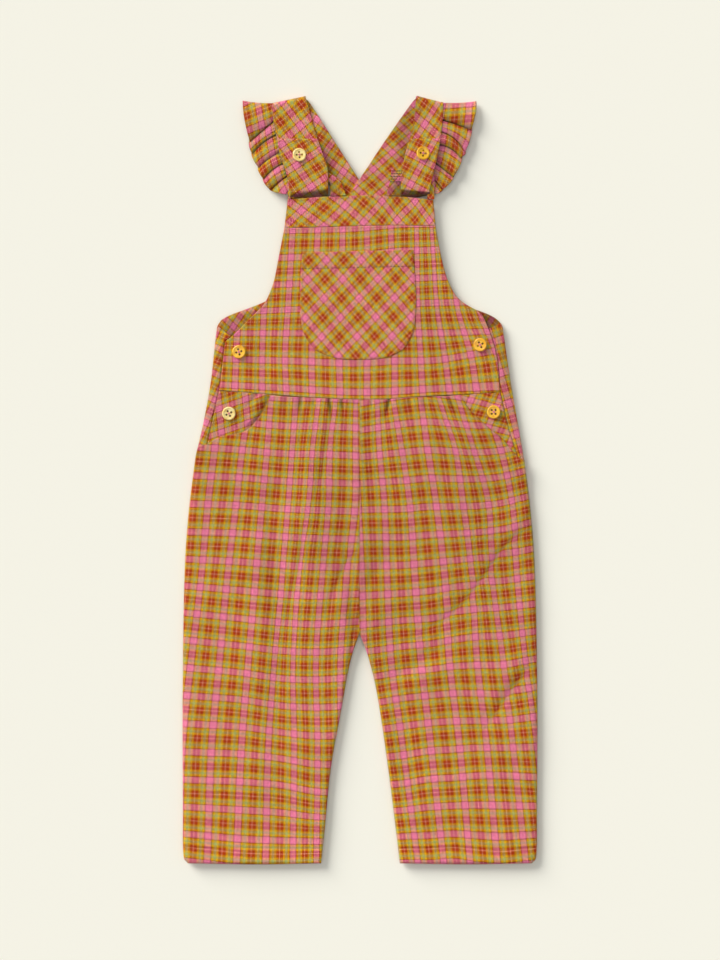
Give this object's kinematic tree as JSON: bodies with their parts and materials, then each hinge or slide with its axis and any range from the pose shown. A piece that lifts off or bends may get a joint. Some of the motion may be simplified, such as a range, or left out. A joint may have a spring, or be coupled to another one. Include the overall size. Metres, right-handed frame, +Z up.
{
  "type": "bib dungarees",
  "caption": "Toddler bib dungarees in checked twill, laid flat: bib with bias band and patch pocket, crossed frilled straps buttoned back on themselves, gathered legs, button side openings",
  "frame": {"origin": "under the middle of the laid garment's bounding box, on the surface it lies on", "axes": "+Y points up the garment, from the hems to the shoulders; +X is the picture's right; +Z is up, out of the garment's front"},
  "size_m": [0.3266, 0.7064, 0.0098],
  "materials": {
    "checked_cloth": "brushed cotton twill in a pink, rust, mustard and sage check, cut on the straight grain",
    "bias_cloth": "the same brushed cotton twill, cut on the bias",
    "button_yellow": "glossy golden yellow four-hole button",
    "button_pale": "glossy pale gold four-hole button"
  },
  "bodies": {
    "root": {"back_bodice": "checked_cloth", "back_leg_left": "checked_cloth", "back_leg_right": "checked_cloth", "placket_left": "checked_cloth", "placket_right": "checked_cloth", "hip_panel_left": "bias_cloth", "hip_panel_right": "bias_cloth", "bib_front": "checked_cloth", "bib_band": "bias_cloth", "chest_pocket": "bias_cloth", "front_leg_left": "checked_cloth", "front_leg_right": "checked_cloth", "strap_tab_left": "bias_cloth", "strap_tab_right": "bias_cloth", "strap_left": "bias_cloth", "strap_right": "bias_cloth", "ruffle_left": "checked_cloth", "ruffle_right": "checked_cloth", "button_strap_left": "button_pale", "button_strap_right": "button_yellow", "button_side_left": "button_yellow", "button_side_right": "button_yellow", "button_hip_left": "button_pale", "button_hip_right": "button_yellow"}
  },
  "joints": []
}
